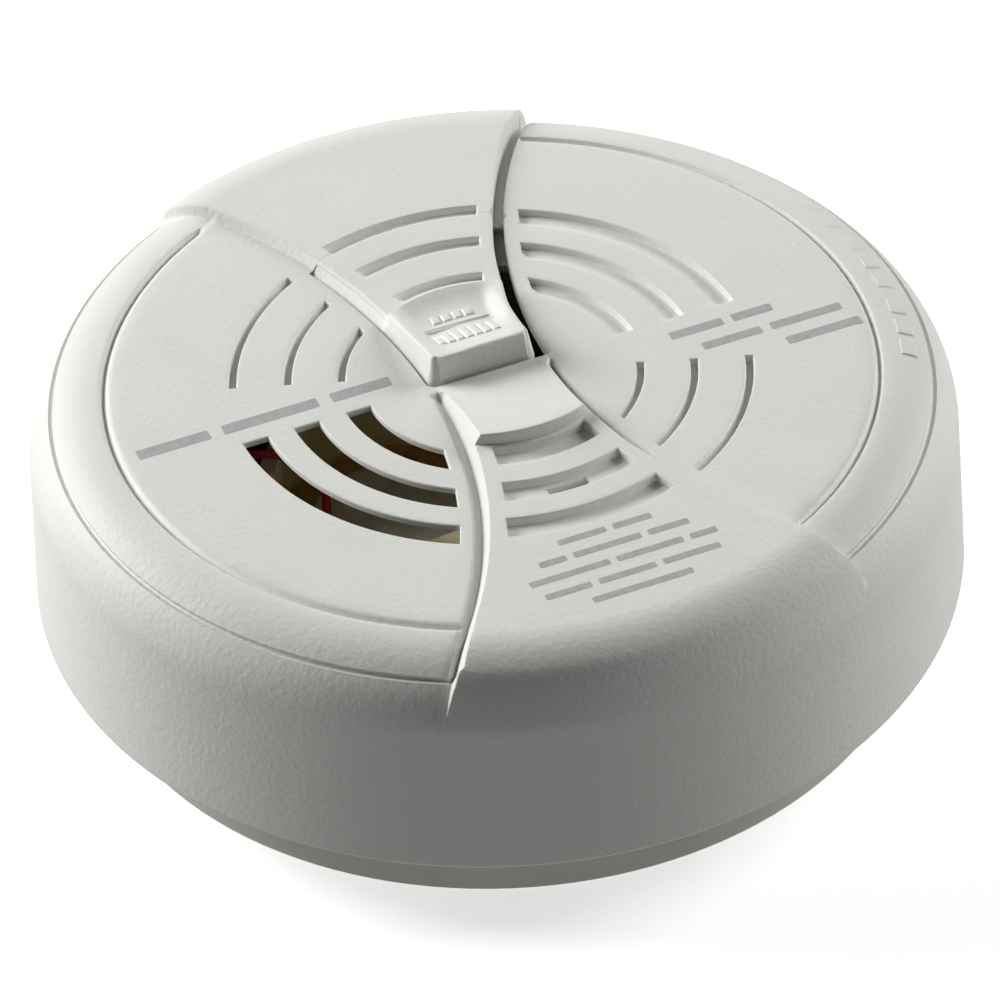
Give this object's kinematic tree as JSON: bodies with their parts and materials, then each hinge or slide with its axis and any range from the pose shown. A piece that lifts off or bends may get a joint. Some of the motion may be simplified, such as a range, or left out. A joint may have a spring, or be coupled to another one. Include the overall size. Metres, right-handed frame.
{
  "type": "carbon monoxide detector",
  "caption": "Round carbon monoxide alarm with slotted face, flexing test button, slide-out battery drawer and twist-lock wall bracket.",
  "frame": {"origin": "centre of the wall bracket's back face, which lies on the wall or ceiling", "axes": "+Z out of the alarm's face, +X the reading direction of the face, +Y towards the test button's side"},
  "size_m": [0.144, 0.144, 0.052],
  "materials": {
    "cover_plastic": "fine moulded texture, off-white",
    "housing_plastic": "moulded off-white",
    "bracket_plastic": "moulded off-white, slightly warmer",
    "board_laminate": "brown paper laminate",
    "brass": "rolled, satin",
    "ceramic": "silvered ceramic",
    "can_metal": "drawn steel",
    "tinned_metal": "tinned",
    "screw_steel": "zinc plated",
    "black_plastic": "moulded black",
    "component_body": "epoxy",
    "capacitor_sleeve": "shrink sleeve",
    "filter_plastic": "porous filter cap",
    "lamp_green": "tinted epoxy",
    "lamp_red": "tinted epoxy",
    "battery_jacket": "printed steel jacket, plain",
    "insulation_red": "wire insulation",
    "insulation_black": "wire insulation"
  },
  "bodies": {
    "bracket": {"mounting_bracket": "bracket_plastic"},
    "button": {"test_button": "cover_plastic"},
    "plunger": {"switch_plunger": "component_body"},
    "drawer": {"battery_drawer": "housing_plastic", "battery_case": "battery_jacket", "battery_positive_terminal": "tinned_metal", "battery_negative_terminal": "tinned_metal"},
    "alarm": {"front_cover": "cover_plastic", "rear_housing": "housing_plastic", "circuit_board": "board_laminate", "horn_housing": "filter_plastic", "horn_disc": "brass", "horn_ceramic": "ceramic", "horn_lead_red": "insulation_red", "horn_lead_black": "insulation_black", "sensor_can": "can_metal", "sensor_base": "black_plastic", "sensor_filter_cap": "filter_plastic", "sensor_pins": "tinned_metal", "switch_base": "black_plastic", "microcontroller": "component_body", "horn_driver_chip": "component_body", "chip_resistors": "component_body", "chip_capacitors": "filter_plastic", "electrolytic_capacitors": "capacitor_sleeve", "horn_inductor": "black_plastic", "led_green": "lamp_green", "led_red": "lamp_red", "battery_contacts": "tinned_metal", "battery_lead_red": "insulation_red", "battery_lead_black": "insulation_black", "cover_screws": "screw_steel", "board_screws": "screw_steel"}
  },
  "joints": [
    {"name": "alarm_twist", "type": "hinge", "parent": "bracket", "child": "alarm", "pos_m": [0, 0, 0], "axis": [0, 0, 1], "range_deg": [0, 15]},
    {"name": "button_press", "type": "hinge", "parent": "alarm", "child": "button", "pos_m": [0, 0.036, 0.0452], "axis": [1, 0, 0], "range_deg": [0, 2], "stiffness_Nm_per_rad": 4},
    {"name": "switch_press", "type": "slide", "parent": "alarm", "child": "plunger", "axis": [0, 0, -1], "range_m": [0, 0.0012]},
    {"name": "drawer_slide", "type": "slide", "parent": "alarm", "child": "drawer", "axis": [0, 1, 0], "range_m": [0, 0.031]}
  ],
  "couplings": [
    {"joint": "switch_press", "follows": "button_press", "m_per_rad": 0.029}
  ]
}
